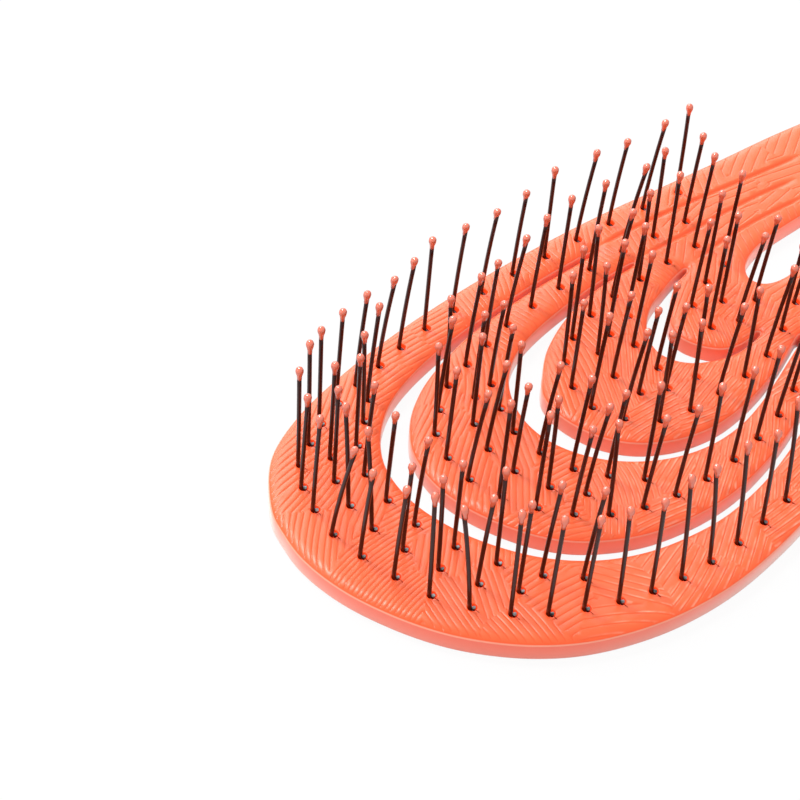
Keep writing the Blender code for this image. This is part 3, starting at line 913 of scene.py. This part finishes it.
# The nylon shows through the drop at its neck, up to these shares of its height, and the drop's sides get
# painted shade
NECK_COLOUR = (0.45, 0.06, 0.03, 1)
NECK_FADE = (0.02, 0.35)
SIDE_SHADE_COLOUR = (0.38, 0.04, 0.015, 1)


def epoxy():
    """Glossy coral drops, each a slightly different shade, deeper at their necks and with painted shade at
    their sides.
    """
    made, tree, shader = surface("tip_epoxy", IOR=1.9)
    place = own_place(tree)
    shade = noise(place, 130.0, 1.0)
    speck = noise(place, 3000.0, 2.0)
    height = node(tree, "ShaderNodeSeparateXYZ", {}, {"Vector": place}).out("Z")
    dark, clear = (PLATE_TOP + PIN_LENGTH - TIP_LENGTH * (1 - share) for share in NECK_FADE)
    neck = node(tree, "ShaderNodeMapRange", {}, {"Value": height, "From Min": dark, "From Max": clear})
    aslant = node(tree, "ShaderNodeLayerWeight", {}, {"Blend": 0.42}).out("Facing")
    tint = blend(shade, (0.78, 0.135, 0.065, 1), (0.9, 0.195, 0.1, 1))
    tint = blend(neck, NECK_COLOUR, tint)
    # Painted shade at the drops' sides, where they are seen aslant
    blend(aslant * 0.95, tint, SIDE_SHADE_COLOUR).into(shader, "Base Color")
    (0.08 + speck * 0.1).into(shader, "Roughness")
    bump(speck, 0.12, 0.00003).into(shader, "Normal")
    return made


tip_points = points_object("pin_tips", foot_places, lean=lean_vectors)
tip_sizes = {"Radius": TIP_RADIUS, "Drop": TIP_LENGTH, "Length": PIN_LENGTH, "Bow": PIN_BOW}
tips = grow(tip_points, tip_tree(), tip_sizes, epoxy())
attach(tips, "root")


# Cut legs
# The short leg of each staple stands in the other half of the hole. It is the pins' nylon, and the
# cutters leave its end rounded and aslant, so that it catches the light. Its upward cut face is painted
# pale grey: partly the cutters' haze, partly a painted highlight.

CUT_SEED = 5
STUB_RADIUS = 0.00034
STUB_SIDES = 10
STUB_SEGMENTS = 5
# Where a short leg stands from its pin's foot
LEG_SPACING = (0.0005, -0.00045)
# How far the cut ends stand above the face, how much deeper they sit at the head's far side, and where
# that starts and over what run it grows
STUB_TOP = 0.00008
STUB_SINK = 0.0006
SINK_START, SINK_RUN = 0.012, 0.02
# The way the cuts face, in radians: its middle and spread, and a further turn that comes in along the head
CUT_WAY, CUT_SPREAD, CUT_SWING = 0.05, 0.5, 1.8
SWING_START, SWING_RUN = -0.012, 0.02
CUT_TILT = 0.34
# Shares of the leg's width and height, from its lower end to the middle of its cut
CUT_WIDTHS = ((0, 1), (0.2, 1), (0.4, 0.97), (0.6, 0.86), (0.8, 0.6), (1, 0.25))
CUT_LEVELS = ((0, 0), (0.2, 0.9), (0.4, 0.965), (0.6, 0.995), (0.8, 1), (1, 1))


def stub_tree():
    """A short leg below each point, rounded over at its top and cut aslant, turned its own way."""
    tree, given = new_tree("cut_legs", ("Radius", "Depth", "Tilt"))
    plain = tube(tree, STUB_SIDES, STUB_SEGMENTS)
    place = place_split(tree)
    share = place.out("Z") + 0.5
    width = profiled(share, CUT_WIDTHS) * given.out("Radius")
    level = profiled(share, CUT_LEVELS)
    across = place.out("X") * width
    height = (level - 1.0) * given.out("Depth") + across * given.out("Tilt") * level
    moved = node(
        tree, "ShaderNodeCombineXYZ", {}, {"X": across, "Y": place.out("Y") * width, "Z": height})
    cut = node(tree, "GeometryNodeSetPosition", {}, {"Geometry": plain, "Position": moved})
    finished(tree, given, stood(tree, given, cut, Rotation=vector_on(tree, "turn")))
    return tree


def cut_nylon():
    """The pins' nylon, with its upward cut faces painted pale grey: partly the cutters' haze, partly a
    painted highlight.
    """
    made, tree, shader = surface("cut_nylon", IOR=1.42)
    haze = noise(own_place(tree), 900.0, 3.0)
    facing = node(tree, "ShaderNodeNewGeometry", {}, {}).out("Normal")
    up = node(tree, "ShaderNodeSeparateXYZ", {}, {"Vector": facing}).out("Z")
    # Cut faces that point up get pale grey: partly the cut's haze, partly a painted highlight
    top = node(tree, "ShaderNodeMapRange", {}, {"Value": up, "From Min": 0.6, "From Max": 0.92})
    haze_and_highlight = blend(haze * 3.0 - 1.1, (0.03, 0.028, 0.028, 1), (0.4, 0.4, 0.42, 1))
    blend(top, (0.016, 0.004, 0.003, 1), haze_and_highlight).into(shader, "Base Color")
    (0.2 + haze * 0.3).into(shader, "Roughness")
    bump(haze, 0.3, 0.00003).into(shader, "Normal")
    return made


# The far pins are folded deeper into their holes, so that more of the red hole shows beside them
foot_depths = (pin_feet[:, 0] + pin_feet[:, 1]) / math.sqrt(2)
foot_sinks = STUB_SINK * eased((foot_depths - SINK_START) / SINK_RUN)
cut_rng = np.random.default_rng(CUT_SEED)
cut_swings = cut_rng.normal(CUT_WAY, CUT_SPREAD, len(flat))
cut_swings += CUT_SWING * eased((pin_feet[:, 0] - SWING_START) / SWING_RUN)
cut_turns = np.column_stack([flat, flat, cut_swings])
stub_places = np.column_stack([pin_feet + np.array(LEG_SPACING), PLATE_TOP + STUB_TOP - foot_sinks])
stub_points = points_object("cut_legs", stub_places, turn=cut_turns)
stub_sizes = {"Radius": STUB_RADIUS, "Depth": PIN_ROOT + STUB_TOP - STUB_SINK, "Tilt": CUT_TILT}
stubs = grow(stub_points, stub_tree(), stub_sizes, cut_nylon())
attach(stubs, "root")


# Anchors
# A slip of metal is driven across each fold, and bites into the plastic on both sides of the hole. Only
# its end shows, as a dull dark red nick beside the hole.

ANCHOR_SEED = 8
# How far a slip reaches to either side of the hole's middle
ANCHOR_REACH = (0.00155, 0.00105)
ANCHOR_WIDTH = 0.00018
ANCHOR_SIDES = 8
# The way the slips lie, and how far each may be off it, in radians
ANCHOR_WAY = math.radians(-88)
ANCHOR_SWAY = 0.12
# How deep a slip lies in the face, as a share of its width, and how much of its pin's sink it follows
ANCHOR_DEPTH = 0.35
ANCHOR_SINK = 0.2


def anchor_tree():
    """A thin round slip across each point, turned its own way."""
    tree, given = new_tree("metal_slips", ("Width", "Near", "Far"))
    start = node(tree, "ShaderNodeCombineXYZ", {}, {"X": given.out("Near")})
    end = node(tree, "ShaderNodeCombineXYZ", {}, {"X": given.out("Far") * -1.0})
    rail = node(tree, "GeometryNodeCurvePrimitiveLine", {}, {"Start": start, "End": end})
    radius = given.out("Width") / 2
    section = node(
        tree, "GeometryNodeCurvePrimitiveCircle", {}, {"Resolution": ANCHOR_SIDES, "Radius": radius})
    slip = node(
        tree, "GeometryNodeCurveToMesh", {},
        {"Curve": rail, "Profile Curve": section, "Fill Caps": True})
    finished(tree, given, stood(tree, given, slip, Rotation=vector_on(tree, "turn")))
    return tree


def slip_end():
    """The end of a slip that cut into the plastic: dull and dark red."""
    made, tree, shader = surface("slip_end", Specular_IOR_Level=0.1)
    stain = noise(own_place(tree), 900.0, 3.0)
    blend(stain, (0.25, 0.008, 0.003, 1), (0.6, 0.04, 0.012, 1)).into(shader, "Base Color")
    (0.5 + stain * 0.3).into(shader, "Roughness")
    return made


anchor_rng = np.random.default_rng(ANCHOR_SEED)
anchor_ways = ANCHOR_WAY + anchor_rng.uniform(-ANCHOR_SWAY, ANCHOR_SWAY, len(flat))
anchor_turns = np.column_stack([flat, flat, anchor_ways])
anchor_lifts = hole_lifts - ANCHOR_WIDTH * ANCHOR_DEPTH - foot_sinks * ANCHOR_SINK
anchor_points = points_object("anchors", np.column_stack([hole_centres, anchor_lifts]), turn=anchor_turns)
anchor_sizes = {"Width": ANCHOR_WIDTH, "Near": ANCHOR_REACH[0], "Far": ANCHOR_REACH[1]}
anchors = grow(anchor_points, anchor_tree(), anchor_sizes, slip_end())
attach(anchors, "root")


# Floor, light and camera
# A white sweep lies under the brush. Soft light comes from above, from behind and from the left, and the
# camera stands where the photograph's did.

# Half the floor's width, how far it lies below the brush, and how much of the white that is seen it gives
FLOOR_REACH = 2.0
FLOOR_DROP = 0.0002
FLOOR_GLOW = 0.94


def seen_directly(tree):
    """1 for what the camera sees straight or in a reflection, and 0 for the light that falls on things."""
    path = node(tree, "ShaderNodeLightPath", {}, {})
    reflected = path.out("Is Glossy Ray") + path.out("Is Transmission Ray")
    return path.maths("MAXIMUM", path.out("Is Camera Ray"), reflected)


def white_floor():
    """White to the camera and in reflections, with the brush's soft shadow kept."""
    made, tree, shader = surface("white_sweep", Roughness=0.9, Base_Color=(0.8, 0.8, 0.8, 1))
    glow = node(tree, "ShaderNodeEmission", {}, {"Color": (1, 1, 1, 1), "Strength": 1.0})
    share = seen_directly(tree) * FLOOR_GLOW
    mixed = node(tree, "ShaderNodeMixShader", {}, {0: share, 1: Wire(tree, shader.outputs[0]), 2: glow})
    mixed.into(tree.nodes["Material Output"], "Surface")
    return made


floor_verts = np.array([
    (x * FLOOR_REACH, y * FLOOR_REACH, -FLOOR_DROP) for x, y in ((-1, -1), (1, -1), (1, 1), (-1, 1))])
floor = mesh_object("floor", floor_verts, [[0, 1, 2, 3]], white_floor())

# The air is plain white to the camera, and a little dimmer as a light
world = bpy.data.worlds.new("studio")
bpy.context.scene.world = world
world.use_nodes = True
background = world.node_tree.nodes["Background"]
background.inputs["Color"].default_value = (1, 1, 1, 1)
(0.75 + seen_directly(world.node_tree) * 0.25).into(background, "Strength")


def softbox(name, place, target, size, power):
    """A square area light that faces the target."""
    light = bpy.data.lights.new(name, "AREA")
    light.size = size
    light.energy = power
    obj = bpy.data.objects.new(name, light)
    obj.location = place
    obj.rotation_euler = (Vector(target) - Vector(place)).to_track_quat("-Z", "Y").to_euler()
    bpy.context.scene.collection.objects.link(obj)


softbox("key", (-0.05, 0.39, 0.75), (0.02, 0, 0), 0.18, 4.0)
softbox("back", (0.39, 0.87, 0.46), (0.05, 0, 0), 1.0, 7.6)
softbox("sheen", (0.33, 0.62, 0.73), (0, 0.02, 0), 0.32, 1.2)
softbox("left", (-0.7, 0.45, 0.25), (0.02, 0, 0), 0.7, 1.6)

# The photograph's camera, worked out from the feet and tips of the pins in it
CAMERA_LOOK = Vector((0, 0.024, 0.0041))
CAMERA_DISTANCE = 0.4084
CAMERA_TURN = math.radians(45)
CAMERA_DROP = math.radians(46)
CAMERA_ROLL = math.radians(4.7895)

ahead = Vector((
    math.cos(CAMERA_DROP) * math.cos(CAMERA_TURN), math.cos(CAMERA_DROP) * math.sin(CAMERA_TURN),
    -math.sin(CAMERA_DROP)))
right = Vector((math.sin(CAMERA_TURN), -math.cos(CAMERA_TURN), 0))
above = right.cross(ahead)
level_right = math.cos(CAMERA_ROLL) * right + math.sin(CAMERA_ROLL) * above
level_above = math.cos(CAMERA_ROLL) * above - math.sin(CAMERA_ROLL) * right
lens = bpy.data.cameras.new("camera")
lens.lens = 108
lens.sensor_width = 36
lens.clip_start = 0.01
camera = bpy.data.objects.new("camera", lens)
camera.matrix_world = Matrix.Translation(CAMERA_LOOK - ahead * CAMERA_DISTANCE) @ Matrix(
    (level_right, level_above, -ahead)).transposed().to_4x4()
bpy.context.scene.collection.objects.link(camera)
bpy.context.scene.camera = camera
bpy.context.scene.view_settings.view_transform = "Standard"
